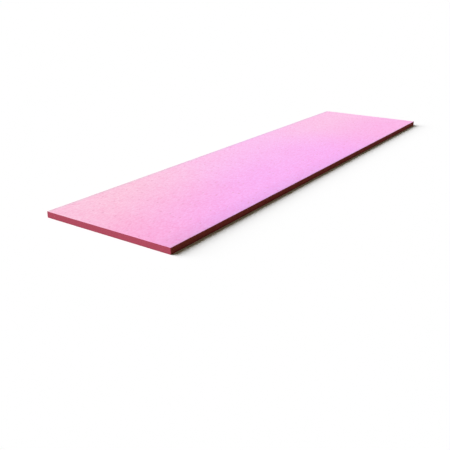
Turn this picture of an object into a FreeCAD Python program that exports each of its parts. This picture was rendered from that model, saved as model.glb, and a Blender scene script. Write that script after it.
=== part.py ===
"""Insulation board of extruded polystyrene foam (XPS): one flat, square-edged sheet.

Millimetres. +X runs along the length, +Y across the width and +Z up through the
thickness. The origin is the centre of the face that the board lies on.
"""

import FreeCAD, Part
import os

import Sketcher

# The driving dimensions: alias, millimetres, what it sets.
SIZES = (
    ("BoardLength", 2400.0, "long side, as sold"),
    ("BoardWidth", 600.0, "short side, as sold"),
    ("BoardThickness", 25.0, "nominal thickness"),
    ("CornerRadius", 1.5, "the four upright corners, softened by the saw and by handling"),
    ("ArrisRadius", 0.8, "the edges where the faces meet the sawn sides and ends"),
)
SHEET = "Sizes"
NODE = "foam_board"
PARTS_FOLDER = "parts"

# How near, in millimetres, an edge's points have to lie for it to count as upright or on a face.
ON_PLANE = 1e-6


def make_size_sheet(doc):
    """The spreadsheet that every feature reads its sizes from."""
    sheet = doc.addObject("Spreadsheet::Sheet", SHEET)
    for row, (alias, value, note) in enumerate(SIZES, start=1):
        sheet.set(f"A{row}", alias)
        sheet.set(f"B{row}", str(value))
        sheet.setAlias(f"B{row}", alias)
        sheet.set(f"C{row}", note)
    doc.recompute()
    return sheet


def origin_plane(body, role):
    """The body's own origin plane of that role, such as XY_Plane."""
    return next(f for f in body.Origin.OriginFeatures if f.Role == role)


def outline_sketch(body, sheet):
    """The board's outline seen from above: a rectangle centred on the origin."""
    sketch = body.newObject("Sketcher::SketchObject", "Outline")
    sketch.AttachmentSupport = [(origin_plane(body, "XY_Plane"), "")]
    sketch.MapMode = "FlatFace"

    half_length = sheet.BoardLength / 2
    half_width = sheet.BoardWidth / 2
    corners = [
        FreeCAD.Vector(-half_length, -half_width, 0),
        FreeCAD.Vector(half_length, -half_width, 0),
        FreeCAD.Vector(half_length, half_width, 0),
        FreeCAD.Vector(-half_length, half_width, 0),
    ]
    sides = [Part.LineSegment(corners[i], corners[(i + 1) % 4]) for i in range(4)]
    front, right, back, left = sketch.addGeometry(sides, False)

    start, end = 1, 2
    root = (-1, 1)
    for side, following in ((front, right), (right, back), (back, left), (left, front)):
        sketch.addConstraint(Sketcher.Constraint("Coincident", side, end, following, start))
    for side in (front, back):
        sketch.addConstraint(Sketcher.Constraint("Horizontal", side))
    for side in (right, left):
        sketch.addConstraint(Sketcher.Constraint("Vertical", side))
    sketch.addConstraint(Sketcher.Constraint("Symmetric", front, start, back, start, *root))

    spans = (
        ("board_length", "DistanceX", front, "BoardLength"),
        ("board_width", "DistanceY", right, "BoardWidth"),
    )
    for name, kind, side, alias in spans:
        span = Sketcher.Constraint(kind, side, start, side, end, getattr(sheet, alias))
        sketch.renameConstraint(sketch.addConstraint(span), name)
        sketch.setExpression(f"Constraints.{name}", f"{SHEET}.{alias}")
    return sketch


def edges_where(shape, test):
    """The names of the edges of a shape whose vertices pass a test together."""
    return [
        f"Edge{number}"
        for number, edge in enumerate(shape.Edges, start=1)
        if test([vertex.Point for vertex in edge.Vertexes])
    ]


def is_upright(points):
    """True for an edge that stands straight up, such as one at a corner of the outline."""
    first, last = points[0], points[-1]
    return (
        abs(first.z - last.z) > ON_PLANE
        and abs(first.x - last.x) < ON_PLANE
        and abs(first.y - last.y) < ON_PLANE
    )


def lies_level(points):
    """True for an edge whose ends are at one height, as on the rim of either face."""
    return abs(points[0].z - points[-1].z) < ON_PLANE


def round_edges(body, base, name, test, radius_alias):
    """Rounds the edges of the base feature that pass a test, to a radius in the size sheet."""
    fillet = body.newObject("PartDesign::Fillet", name)
    fillet.Base = (base, edges_where(base.Shape, test))
    fillet.setExpression("Radius", f"{SHEET}.{radius_alias}")
    body.Document.recompute()
    return fillet


def make_foam_board(doc, sheet):
    """The whole board: its outline padded up to the thickness, then its edges softened."""
    body = doc.addObject("PartDesign::Body", "FoamBoard")
    body.Label = NODE

    sketch = outline_sketch(body, sheet)
    slab = body.newObject("PartDesign::Pad", "Slab")
    slab.Profile = sketch
    slab.setExpression("Length", f"{SHEET}.BoardThickness")
    doc.recompute()

    corners = round_edges(body, slab, "Corners", is_upright, "CornerRadius")
    round_edges(body, corners, "Arrises", lies_level, "ArrisRadius")
    body.Placement = FreeCAD.Placement()
    return body


def check(doc, bodies):
    """Stops the build if any feature failed or any body isn't one valid closed solid."""
    doc.recompute()
    for item in doc.Objects:
        if {"Invalid", "Error"} & set(item.State):
            raise RuntimeError(f"{item.Name} failed: {item.State}")
    for body in bodies:
        shape = body.Shape
        if shape.isNull() or not shape.isValid() or len(shape.Solids) != 1:
            raise RuntimeError(f"{body.Label} isn't one valid solid")


def main():
    doc = FreeCAD.newDocument("InsulationBoard")
    sheet = make_size_sheet(doc)
    bodies = [make_foam_board(doc, sheet)]
    check(doc, bodies)

    os.makedirs(PARTS_FOLDER, exist_ok=True)
    for body in bodies:
        body.Shape.exportStep(os.path.join(PARTS_FOLDER, f"{body.Label}.step"))
        box = body.Shape.BoundBox
        print(
            f"{body.Label}: {box.XLength:.3f} x {box.YLength:.3f} x {box.ZLength:.3f} mm,"
            f" {body.Shape.Volume / 1e6:.4f} litres"
        )


main()
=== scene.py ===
"""A rigid extruded foam insulation board lying flat, with the plain studio that it is shown in.

The board is one slab with square butt edges. Its two faces carry the smooth extrusion skin, and its
ends and long sides are sawn, so they show the cells of the foam in a deeper rose that is partly
painted shade. Lengths are in metres. X runs along the board, Y across it and Z up from the floor.
"""

import math

import bmesh
import bpy
from bpy.props import FloatProperty, FloatVectorProperty, IntProperty, PointerProperty
from bpy.types import Operator, Panel, PropertyGroup
from mathutils import Matrix, Vector, noise


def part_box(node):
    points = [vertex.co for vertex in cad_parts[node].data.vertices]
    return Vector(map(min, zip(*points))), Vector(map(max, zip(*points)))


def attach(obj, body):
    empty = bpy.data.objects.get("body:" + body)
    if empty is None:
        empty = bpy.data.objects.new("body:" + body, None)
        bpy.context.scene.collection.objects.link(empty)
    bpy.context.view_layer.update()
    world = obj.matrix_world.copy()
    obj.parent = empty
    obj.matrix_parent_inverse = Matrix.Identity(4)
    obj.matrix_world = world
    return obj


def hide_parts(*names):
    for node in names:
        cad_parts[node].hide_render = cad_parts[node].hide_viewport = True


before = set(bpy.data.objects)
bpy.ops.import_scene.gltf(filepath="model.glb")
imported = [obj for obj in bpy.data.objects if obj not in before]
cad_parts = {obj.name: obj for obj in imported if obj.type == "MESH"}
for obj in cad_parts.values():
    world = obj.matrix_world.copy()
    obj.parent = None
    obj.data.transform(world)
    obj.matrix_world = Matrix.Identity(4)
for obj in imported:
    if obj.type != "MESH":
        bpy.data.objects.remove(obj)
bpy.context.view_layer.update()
BOARD_LOW, BOARD_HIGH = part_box("foam_board")
BOARD_SIZE = BOARD_HIGH - BOARD_LOW

bl_info = {
    "name": "Foam Insulation Board",
    "version": (1, 0, 0),
    "blender": (4, 5, 0),
    "location": "3D View > Sidebar > Foam Board",
    "description": "Builds a rigid extruded foam board with sawn edges, and a studio around it",
    "category": "Object",
}

MILLIMETRE = 0.001
WHITE = (1.0, 1.0, 1.0)
SKIN_SLOT, SAWN_SLOT = 0, 1
MIX_FACTOR, MIX_FIRST, MIX_SECOND, MIX_RESULT = 0, 6, 7, 2


def linear(red, green, blue):
    """The scene-linear colour of three display values from 0 to 255."""
    def channel(value):
        share = value / 255
        return share / 12.92 if share <= 0.04045 else ((share + 0.055) / 1.055) ** 2.4

    return channel(red), channel(green), channel(blue)


def length_property(name, description, default):
    return FloatProperty(name=name, description=description, default=default, min=0.0, precision=5,
                         unit="LENGTH")


def angle_property(name, description, degrees):
    return FloatProperty(name=name, description=description, default=math.radians(degrees),
                         subtype="ANGLE")


def share_property(name, description, default):
    return FloatProperty(name=name, description=description, default=default, min=0.0,
                         subtype="FACTOR", soft_max=1.0)


def colour_property(name, description, *display):
    return FloatVectorProperty(name=name, description=description, default=linear(*display),
                               size=3, min=0.0, max=1.0, subtype="COLOR")


# ---------------------------------------------------------------------------------------------
# What a user would change
# ---------------------------------------------------------------------------------------------


class BoardSizes(PropertyGroup):
    length: length_property("Length", "Length of the board", BOARD_SIZE.x)
    width: length_property("Width", "Width of the board", BOARD_SIZE.y)
    thickness: length_property("Thickness", "Thickness of the board", BOARD_SIZE.z)
    corner_radius: length_property(
        "Corner radius", "Rounding of the four upright corners", 1.5 * MILLIMETRE)
    arris_radius: length_property(
        "Arris radius", "Rounding of the long and short arrises", 0.8 * MILLIMETRE)
    cell: length_property(
        "Mesh cell", "Spacing of the mesh that carries the ripple", 8 * MILLIMETRE)
    ripple_depth: length_property(
        "Ripple depth", "How far the skin sinks in the hollows of its ripple", 0.25 * MILLIMETRE)
    ripple_length: length_property(
        "Ripple length", "About how far apart the hollows of the ripple are", 90 * MILLIMETRE)
    nick_depth: length_property(
        "Nick depth", "About how deep the deepest knock in an arris is", 0.5 * MILLIMETRE)
    rounding_steps: IntProperty(
        name="Rounding steps", description="Faces across each rounded edge", default=4, min=1)


class BoardColours(PropertyGroup):
    # Painted sheen: the colours beside the back edge are the skin's tint lightened by painted sheen.
    rose: colour_property("Rose", "Skin at the near end, beside the front edge", 255, 190, 228)
    rose_with_sheen: colour_property("Pale rose", "Skin at the near end, beside the back edge", 255, 214, 233)
    lilac: colour_property("Lilac", "Skin at mid length, beside the front edge", 254, 193, 255)
    lilac_with_sheen: colour_property("Pale lilac", "Skin at mid length, beside the back edge", 255, 208, 251)
    mottle: colour_property("Mottle", "What the darker blotches turn the skin's tint to", 248, 216, 230)
    # The skin is made greyer close to its long edges.
    edge_greying: colour_property("Edge grime", "Greying of the skin along its long edges", 241, 253, 248)
    front_shade: colour_property("Front shade", "Deepening of the skin near the front edge", 246, 247, 250)
    scuff: colour_property("Scuff", "Small rubbed spots and pits in the skin", 224, 150, 184)
    # The sawn foam's deeper rose is partly the cut cells' own colour and partly painted shade.
    sawn: colour_property("Sawn foam", "Cut cells on the ends and long sides", 212, 96, 126)
    # Painted shade: a browner tint over the sawn foam of the long sides.
    side_shade_tint: colour_property("Side tint", "Tint over the sawn foam of the long sides", 250, 254, 222)
    sawn_deep: colour_property("Deep sawn foam", "Shade inside the cut cells", 182, 66, 90)
    rim: colour_property("Rim", "Dense foam close under the skin", 180, 74, 100)


class StageSettings(PropertyGroup):
    camera_before: length_property(
        "Camera before", "How far the camera stands before the near end", 1.3544)
    camera_beside: length_property(
        "Camera beside", "How far the camera stands out from the near long side", 1.1496)
    camera_height: length_property("Camera height", "Height of the camera over the floor", 0.804)
    camera_heading: angle_property(
        "Camera heading", "Turn of the view from the board's length", 34.66)
    camera_dip: angle_property("Camera dip", "How far the view looks down", 21.58)
    camera_lens: FloatProperty(
        name="Camera lens", description="Focal length in millimetres on a 36 mm wide sensor",
        default=47.87, min=1.0)
    key_elevation: angle_property("Key elevation", "Height of the key lamp", 35)
    key_heading: angle_property(
        "Key heading", "Direction of the key lamp, turned from the board's length", 115)
    key_softness: angle_property("Key softness", "How wide the key lamp looks", 56)
    light_level: share_property("Light level", "Light on a level surface, where 1 is plain", 1.0)
    fill_share: share_property("Fill share", "Part of that light that comes from all round", 0.10)
    fill_colour: colour_property("Fill colour", "Tint of the light from all round", 255, 251, 200)
    bounce_share: share_property("Bounce share", "Part of its light the floor throws back", 0.28)
    bounce_colour: colour_property("Bounce colour", "Tint of the light off the floor", 240, 255, 165)
    floor_width: length_property("Floor width", "Width of the square floor", 160.0)


# ---------------------------------------------------------------------------------------------
# Shader maths
# ---------------------------------------------------------------------------------------------


class Value:
    """A number, vector or colour in a shader. Python's operators on a number add its Math nodes."""

    def __init__(self, shader, socket):
        self.shader = shader
        self.socket = socket

    def math(self, operation, *operands):
        return self.shader.node("ShaderNodeMath", {"operation": operation}, dict(enumerate(operands)))

    def __add__(self, other):
        return self.math("ADD", self, other)

    def __radd__(self, other):
        return self.math("ADD", other, self)

    def __sub__(self, other):
        return self.math("SUBTRACT", self, other)

    def __rsub__(self, other):
        return self.math("SUBTRACT", other, self)

    def __mul__(self, other):
        return self.math("MULTIPLY", self, other)

    def __rmul__(self, other):
        return self.math("MULTIPLY", other, self)

    def __truediv__(self, other):
        return self.math("DIVIDE", self, other)

    def __rtruediv__(self, other):
        return self.math("DIVIDE", other, self)

    def __abs__(self):
        return self.math("ABSOLUTE", self)

    def larger(self, other):
        return self.math("MAXIMUM", self, other)

    def rise(self, start, end):
        """0 before start, 1 past end and a smooth rise between them. Start may be the higher one."""
        settings = {"interpolation_type": "SMOOTHSTEP", "data_type": "FLOAT"}
        inputs = {"Value": self, "From Min": start, "From Max": end, "To Min": 0, "To Max": 1}
        return self.shader.node("ShaderNodeMapRange", settings, inputs)


class Shader:
    """Adds nodes to the node tree of a material or world."""

    def __init__(self, tree):
        self.tree = tree
        tree.nodes.clear()

    def node(self, kind, settings=None, inputs=None, output=0):
        """A new node with its settings, then the values or links of its sockets; one output of it."""
        made = self.tree.nodes.new(kind)
        for name, setting in (settings or {}).items():
            setattr(made, name, setting)
        for place, given in (inputs or {}).items():
            if isinstance(given, Value):
                self.tree.links.new(given.socket, made.inputs[place])
            else:
                made.inputs[place].default_value = given
        return Value(self, made.outputs[output])

    def position(self):
        """The place on the object, as a vector and as its three numbers."""
        place = self.node("ShaderNodeTexCoord", output="Object")
        return place, *(self.node("ShaderNodeSeparateXYZ", None, {"Vector": place}, axis) for axis in "XYZ")

    def vector(self, x, y):
        return self.node("ShaderNodeCombineXYZ", None, {"X": x, "Y": y})

    def noise(self, place, size, detail=2.0, roughness=0.5):
        """Cloudy noise about 0.5 whose patches are about size across."""
        inputs = {"Vector": place, "Scale": 1 / size, "Detail": detail, "Roughness": roughness}
        return self.node("ShaderNodeTexNoise", {"noise_dimensions": "3D"}, inputs)

    def cells(self, place, size, output="Distance", dimensions="3D"):
        """Random cells about size across: the way to the nearest middle, in such sizes, or its colour."""
        settings = {"voronoi_dimensions": dimensions}
        return self.node("ShaderNodeTexVoronoi", settings, {"Vector": place, "Scale": 1 / size}, output)

    def mix(self, share, first, second, blend="MIX"):
        """From the first colour to the second, or to their product and the like."""
        inputs = {MIX_FACTOR: share, MIX_FIRST: opaque(first), MIX_SECOND: opaque(second)}
        settings = {"data_type": "RGBA", "blend_type": blend}
        return self.node("ShaderNodeMix", settings, inputs, MIX_RESULT)

    def bump(self, height):
        """The normal of a surface with this height in metres."""
        return self.node("ShaderNodeBump", None, {"Strength": 1.0, "Distance": 1.0, "Height": height})

    def surface(self, colour, roughness, normal, specular):
        """Ends the material in a Principled shader."""
        inputs = {
            "Base Color": colour,
            "Roughness": roughness,
            "Normal": normal,
            "Specular IOR Level": specular,
        }
        shader = self.node("ShaderNodeBsdfPrincipled", None, inputs)
        self.node_to_output("ShaderNodeOutputMaterial", shader)

    def node_to_output(self, kind, shader):
        made = self.tree.nodes.new(kind)
        self.tree.links.new(shader.socket, made.inputs["Surface"])

    def seen_directly(self):
        """1 for rays from the camera, and for what gloss and glass show; 0 for light that spreads."""
        rays = ("Is Camera Ray", "Is Glossy Ray", "Is Transmission Ray")
        camera, glossy, transmission = (self.node("ShaderNodeLightPath", output=r) for r in rays)
        return camera.larger(glossy).larger(transmission)


def opaque(colour):
    """A colour of three numbers with an alpha of 1, or a linked one as it is."""
    return colour if isinstance(colour, Value) else (*colour, 1.0)


def new_material(name):
    material = bpy.data.materials.new(name)
    material.use_nodes = True
    return material, Shader(material.node_tree)


# ---------------------------------------------------------------------------------------------
# Materials of the board
# ---------------------------------------------------------------------------------------------


def skin_tint_and_sheen(shader, colours, place, x, y):
    """The skin's slow drift from rose to lilac and halfway back along the board, and painted sheen that
    lightens it from the front edge to the back edge and towards the far end.
    """
    all_rose, all_lilac = -1.19, -0.22
    sheen_rise_start, sheen_rise_end = -0.22, 0.28
    fade_start, fade_end = 0.15, 0.85

    drift = shader.noise(place, 0.40, detail=1.0) - 0.5
    far = x.rise(fade_start, fade_end)
    along = x - 1.3 * y + 0.40 * drift
    lilac = along.rise(all_rose, all_lilac) * (1 - 0.45 * far)
    # Painted sheen: lighter towards the back edge and towards the far end.
    painted_sheen = (y + 0.14 * drift).rise(sheen_rise_start, sheen_rise_end) + 0.25 * far
    low_side = shader.mix(lilac, colours.rose, colours.lilac)
    sheened_side = shader.mix(lilac, colours.rose_with_sheen, colours.lilac_with_sheen)
    return shader.mix(painted_sheen, low_side, sheened_side)


def spots(shader, place, spacing, smallest, largest):
    """Round spots at random, about one in every two squares of this spacing, on a level face."""
    distance = shader.cells(place, spacing, "Distance", "2D") * spacing
    chance = shader.node(
        "ShaderNodeSeparateColor", None, {"Color": shader.cells(place, spacing, "Color", "2D")})
    radius = smallest + (largest - smallest) * chance
    return (distance / radius).rise(1.0, 0.3) * chance.rise(0.45, 0.60)


def extrusion_skin(sizes, colours):
    """The smooth skin of the two faces: mottled, faintly lined along the length, with tiny pits."""
    material, shader = new_material("extrusion_skin")
    place, x, y, _ = shader.position()
    # This tint holds the skin's own tint together with its painted sheen.
    tint = skin_tint_and_sheen(shader, colours, place, x, y)

    # Patches on these two places come out longer along X than across: twice, and some 80 times.
    drawn = shader.vector(0.5 * x, y)
    stretched = shader.vector(x * 0.012, y)
    mottle = shader.noise(drawn, 13 * MILLIMETRE, detail=3.0, roughness=0.6)
    cloud = shader.noise(place, 60 * MILLIMETRE, detail=2.0)
    grain = shader.noise(drawn, 6 * MILLIMETRE, detail=2.0)
    die_lines = shader.noise(stretched, 3.5 * MILLIMETRE, detail=2.0)
    peel = shader.noise(place, 2.2 * MILLIMETRE, detail=3.0, roughness=0.7)

    pit = spots(shader, place, 17 * MILLIMETRE, smallest=0.4 * MILLIMETRE, largest=2.0 * MILLIMETRE)
    rub = spots(shader, drawn, 34 * MILLIMETRE, smallest=1.5 * MILLIMETRE, largest=4.5 * MILLIMETRE)
    rub = rub * shader.noise(place, 2.5 * MILLIMETRE).rise(0.25, 0.50)

    broad = 0.33 * mottle.rise(0.38, 0.68) + 0.12 * cloud.rise(0.35, 0.70)
    fine = 0.42 * grain.rise(0.36, 0.62) + 0.20 * peel.rise(0.40, 0.66)
    deeper = broad + 0.10 * die_lines + fine
    shaded = shader.mix(deeper, tint, colours.mottle, blend="MULTIPLY")
    to_edge = sizes.width / 2 - abs(y)
    # Greyer from 20 mm inside each long edge towards it, more where the mottle is strong.
    edge_grey = to_edge.rise(20 * MILLIMETRE, 5 * MILLIMETRE) * (0.5 + mottle)
    shaded = shader.mix(edge_grey, shaded, colours.edge_greying, blend="MULTIPLY")
    to_front = y + sizes.width / 2
    front = to_front.rise(100 * MILLIMETRE, 20 * MILLIMETRE) * x.rise(1.00, -0.50)
    shaded = shader.mix(front, shaded, colours.front_shade, blend="MULTIPLY")
    colour = shader.mix((0.65 * pit).larger(0.75 * rub), shaded, colours.scuff)

    roughness = 0.50 + 0.14 * mottle + 0.08 * die_lines + 0.2 * pit.larger(rub)
    height = (0.05 * peel + 0.03 * mottle + 0.02 * die_lines - 0.22 * pit - 0.05 * rub) * MILLIMETRE
    shader.surface(colour, roughness, shader.bump(height), specular=0.1)
    return material


def sawn_foam(sizes, colours):
    """The cut ends and long sides: open cells, saw marks, and denser foam under each skin."""
    material, shader = new_material("sawn_foam")
    place, x, y, z = shader.position()
    half_length = sizes.length / 2
    on_end = abs(x).rise(half_length - 4 * MILLIMETRE, half_length - 2 * MILLIMETRE)

    grain = shader.noise(place, 1.4 * MILLIMETRE, detail=3.0, roughness=0.65)
    patch = shader.noise(place, 14 * MILLIMETRE, detail=2.0)
    cell = shader.cells(place, 1.1 * MILLIMETRE).rise(0.75, 0.15)
    upright_marks = shader.noise(shader.vector(y, z * 0.04), 1.6 * MILLIMETRE, detail=2.0)
    level_marks = shader.noise(shader.vector(x * 0.01, z), 1.6 * MILLIMETRE, detail=2.0)
    marks = on_end * upright_marks + (1 - on_end) * level_marks

    middle = sizes.thickness / 2
    rim = abs(z - middle).rise(middle - 3.2 * MILLIMETRE, middle - MILLIMETRE)

    hollow = 0.45 * cell + 0.35 * grain.rise(0.35, 0.7) + 0.2 * marks + 0.25 * (patch - 0.5)
    # The sawn foam's deeper rose is partly the cut cells' own colour and partly painted shade.
    body = shader.mix(hollow, colours.sawn, colours.sawn_deep)
    body = shader.mix(0.7 * rim, body, colours.rim)
    # Painted shade: the long sides are tinted browner than the ends.
    colour = shader.mix(1 - on_end, body, colours.side_shade_tint, blend="MULTIPLY")

    roughness = 0.78 + 0.14 * grain - 0.08 * rim
    height = (0.12 * grain - 0.10 * cell + 0.08 * marks) * MILLIMETRE
    shader.surface(colour, roughness, shader.bump(height), specular=0.1)
    return material


# ---------------------------------------------------------------------------------------------
# The board
# ---------------------------------------------------------------------------------------------


HEIGHT_SHARES = (0.15, 0.38, 0.62, 0.85)
TOP_LAYER, UNDER_LAYER, KNOCK_LAYER = 3.5, 8.5, 21.5


def bevelled(bm, edges, radius, steps):
    bmesh.ops.bevel(bm, geom=edges, offset=radius, offset_type="OFFSET", affect="EDGES",
                    segments=steps, profile=0.5, material=-1)


def runs_upright(edge):
    start, end = edge.verts
    return abs(start.co.z - end.co.z) > abs(start.co.x - end.co.x) + abs(start.co.y - end.co.y)


def is_arris(edge):
    """True where a level face meets an upright one."""
    faces = [abs(face.normal.z) > 0.5 for face in edge.link_faces]
    return len(faces) == 2 and faces[0] != faces[1]


def cut_places(size, cell, margin):
    """Even cuts across a size, and one close inside each end of it."""
    count = round(size / cell)
    inner = [size * (n / count - 0.5) for n in range(1, count)]
    return [margin - size / 2, *inner, size / 2 - margin]


def cut_across(bm, places, normal):
    """Cuts every face where it crosses the planes that lie at these places along the normal."""
    for place in places:
        geometry = bm.verts[:] + bm.edges[:] + bm.faces[:]
        bmesh.ops.bisect_plane(bm, geom=geometry, dist=1e-7, plane_co=normal * place, plane_no=normal)


def board_slab(sizes):
    """The slab with its rounded corners and arrises, cut into a fine grid."""
    bm = bmesh.new()
    size = Vector((sizes.length, sizes.width, sizes.thickness))
    bmesh.ops.create_cube(bm, size=1.0, matrix=Matrix.LocRotScale((0, 0, size.z / 2), None, size))
    upright = [edge for edge in bm.edges if runs_upright(edge)]
    bevelled(bm, upright, sizes.corner_radius, sizes.rounding_steps)
    bm.normal_update()
    arrises = [edge for edge in bm.edges if is_arris(edge)]
    bevelled(bm, arrises, sizes.arris_radius, sizes.rounding_steps)

    margin = sizes.arris_radius + 2 * MILLIMETRE
    cut_across(bm, cut_places(size.x, sizes.cell, margin), Vector((1, 0, 0)))
    cut_across(bm, cut_places(size.y, sizes.cell, margin), Vector((0, 1, 0)))
    cut_across(bm, [size.z * share for share in HEIGHT_SHARES], Vector((0, 0, 1)))
    bmesh.ops.recalc_face_normals(bm, faces=bm.faces)
    bm.normal_update()
    return bm


def name_finishes(bm):
    """Gives the flat faces the skin, and everything rounded or upright the sawn foam."""
    for face in bm.faces:
        is_level = abs(face.normal.z) > 0.999
        face.material_index = SKIN_SLOT if is_level else SAWN_SLOT
        face.smooth = True


def layer_noise(place, size, layer):
    """Smooth random numbers from -1 to 1 that change over about this size, others in each layer."""
    return noise.noise(place / size + Vector((0, 0, layer)))


def hollow(place, size, layer):
    """Layer noise made stronger, and brought to 0 to 1."""
    contrast = 1.6
    return 0.5 + 0.5 * max(-1.0, min(1.0, contrast * layer_noise(place, size, layer)))


def ripple_skin(bm, sizes):
    """Sinks both faces a little in broad hollows, as the skin leaves the rollers."""
    middle = sizes.thickness / 2
    for vertex in bm.verts:
        height = (vertex.co.z - middle) / middle
        flat = Vector((vertex.co.x, vertex.co.y, 0))
        layer = TOP_LAYER if height > 0 else UNDER_LAYER
        sunk = sizes.ripple_depth * hollow(flat, sizes.ripple_length, layer)
        vertex.co.z -= sunk * height


def knock_arrises(bm, sizes):
    """Presses small knocks into the arrises and leaves the rest of them straight."""
    spacing, threshold = 0.035, 0.35
    half = Vector((sizes.length, sizes.width, sizes.thickness)) / 2
    reach = sizes.arris_radius + 0.5 * MILLIMETRE
    for vertex in bm.verts:
        from_centre = vertex.co - Vector((0, 0, half.z))
        near_side = max(abs(from_centre.x) - half.x, abs(from_centre.y) - half.y) > -reach
        if not near_side or abs(from_centre.z) < half.z - reach:
            continue
        knock = max(0.0, layer_noise(vertex.co, spacing, KNOCK_LAYER) - threshold)
        inward = Vector((0, 0, -math.copysign(1, from_centre.z)))
        if abs(from_centre.x) - half.x > -reach:
            inward.x = -math.copysign(1, from_centre.x)
        if abs(from_centre.y) - half.y > -reach:
            inward.y = -math.copysign(1, from_centre.y)
        vertex.co += inward * sizes.nick_depth * knock


def foam_board(sizes, colours):
    bm = board_slab(sizes)
    name_finishes(bm)
    ripple_skin(bm, sizes)
    knock_arrises(bm, sizes)
    mesh = bpy.data.meshes.new("rigid_foam_board")
    bm.to_mesh(mesh)
    bm.free()
    mesh.materials.append(extrusion_skin(sizes, colours))
    mesh.materials.append(sawn_foam(sizes, colours))
    board = bpy.data.objects.new("rigid_foam_board", mesh)
    bpy.context.scene.collection.objects.link(board)
    return board


# ---------------------------------------------------------------------------------------------
# The studio
# ---------------------------------------------------------------------------------------------


def direction(heading, elevation):
    level = math.cos(elevation)
    return Vector((level * math.cos(heading), level * math.sin(heading), math.sin(elevation)))


def fill_light(stage):
    """The light from all round, which with the key lamp lights a level surface plain white."""
    return Vector(stage.fill_colour) * stage.light_level * stage.fill_share


def studio_floor(stage):
    """A white floor that keeps the board's shadow, and throws little light back at its sides."""
    bm = bmesh.new()
    bmesh.ops.create_grid(bm, x_segments=8, y_segments=8, size=stage.floor_width / 2)
    mesh = bpy.data.meshes.new("studio_floor")
    bm.to_mesh(mesh)
    bm.free()
    material, shader = new_material("studio_floor")
    bounce = tuple(Vector(stage.bounce_colour) * stage.bounce_share)
    colour = shader.mix(shader.seen_directly(), bounce, WHITE)
    shader.node_to_output(
        "ShaderNodeOutputMaterial", shader.node("ShaderNodeBsdfDiffuse", None, {"Color": colour}))
    mesh.materials.append(material)
    floor = bpy.data.objects.new("studio_floor", mesh)
    bpy.context.scene.collection.objects.link(floor)
    return floor


def studio_world(stage):
    """White all round to the eye, and a dim even fill to the board."""
    world = bpy.data.worlds.new("studio_world")
    world.use_nodes = True
    shader = Shader(world.node_tree)
    colour = shader.mix(shader.seen_directly(), tuple(fill_light(stage)), WHITE)
    shader.node_to_output(
        "ShaderNodeOutputWorld", shader.node("ShaderNodeBackground", None, {"Color": colour}))
    bpy.context.scene.world = world


def key_lamp(stage):
    """One broad lamp from behind the far long side, towards the near end."""
    lamp = bpy.data.lights.new("key_lamp", "SUN")
    lamp.angle = stage.key_softness
    on_level = Vector(WHITE) * stage.light_level - fill_light(stage)
    brightest = max(on_level)
    lamp.color = on_level / brightest
    lamp.energy = math.pi * brightest / math.sin(stage.key_elevation)
    key = bpy.data.objects.new("key_lamp", lamp)
    key.rotation_mode = "QUATERNION"
    key.rotation_quaternion = direction(stage.key_heading, stage.key_elevation).to_track_quat("Z", "Y")
    bpy.context.scene.collection.objects.link(key)


def studio_camera(sizes, stage):
    lens = bpy.data.cameras.new("studio_camera")
    lens.sensor_width = 36.0
    lens.lens = stage.camera_lens
    lens.clip_start = 0.05
    lens.clip_end = 2 * stage.floor_width
    camera = bpy.data.objects.new("studio_camera", lens)
    camera.location = (
        -sizes.length / 2 - stage.camera_before,
        -sizes.width / 2 - stage.camera_beside,
        stage.camera_height,
    )
    camera.rotation_mode = "QUATERNION"
    looks = direction(stage.camera_heading, -stage.camera_dip)
    camera.rotation_quaternion = looks.to_track_quat("-Z", "Y")
    bpy.context.scene.collection.objects.link(camera)
    bpy.context.scene.camera = camera


# ---------------------------------------------------------------------------------------------
# Add-on
# ---------------------------------------------------------------------------------------------


class FOAMBOARD_OT_board(Operator):
    """Build the foam board in place of the plain solid"""

    bl_idname = "foamboard.board"
    bl_label = "Build Foam Board"

    def execute(self, context):
        board = foam_board(context.scene.board_sizes, context.scene.board_colours)
        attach(board, "root")
        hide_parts("foam_board")
        return {"FINISHED"}


class FOAMBOARD_OT_studio(Operator):
    """Set up the floor, the lamp, the surroundings and the camera"""

    bl_idname = "foamboard.studio"
    bl_label = "Set Up Studio"

    def execute(self, context):
        stage = context.scene.stage_settings
        studio_floor(stage)
        studio_world(stage)
        key_lamp(stage)
        studio_camera(context.scene.board_sizes, stage)
        context.scene.view_settings.view_transform = "Standard"
        return {"FINISHED"}


class FOAMBOARD_PT_sidebar(Panel):
    """Lists what can be built and the values it is built from"""

    bl_label = "Foam Board"
    bl_space_type = "VIEW_3D"
    bl_region_type = "UI"
    bl_category = "Foam Board"

    def draw(self, context):
        scene = context.scene
        for group, operator in (
            (scene.board_sizes, None),
            (scene.board_colours, FOAMBOARD_OT_board),
            (scene.stage_settings, FOAMBOARD_OT_studio),
        ):
            column = self.layout.column()
            for name in group.bl_rna.properties.keys():
                if name not in ("rna_type", "name"):
                    column.prop(group, name)
            if operator:
                column.operator(operator.bl_idname)


CLASSES = (
    BoardSizes,
    BoardColours,
    StageSettings,
    FOAMBOARD_OT_board,
    FOAMBOARD_OT_studio,
    FOAMBOARD_PT_sidebar,
)


def register():
    for item in CLASSES:
        bpy.utils.register_class(item)
    bpy.types.Scene.board_sizes = PointerProperty(type=BoardSizes)
    bpy.types.Scene.board_colours = PointerProperty(type=BoardColours)
    bpy.types.Scene.stage_settings = PointerProperty(type=StageSettings)


def unregister():
    del bpy.types.Scene.stage_settings
    del bpy.types.Scene.board_colours
    del bpy.types.Scene.board_sizes
    for item in reversed(CLASSES):
        bpy.utils.unregister_class(item)


def main():
    register()
    bpy.ops.foamboard.board()
    bpy.ops.foamboard.studio()


if __name__ == "__main__":
    main()
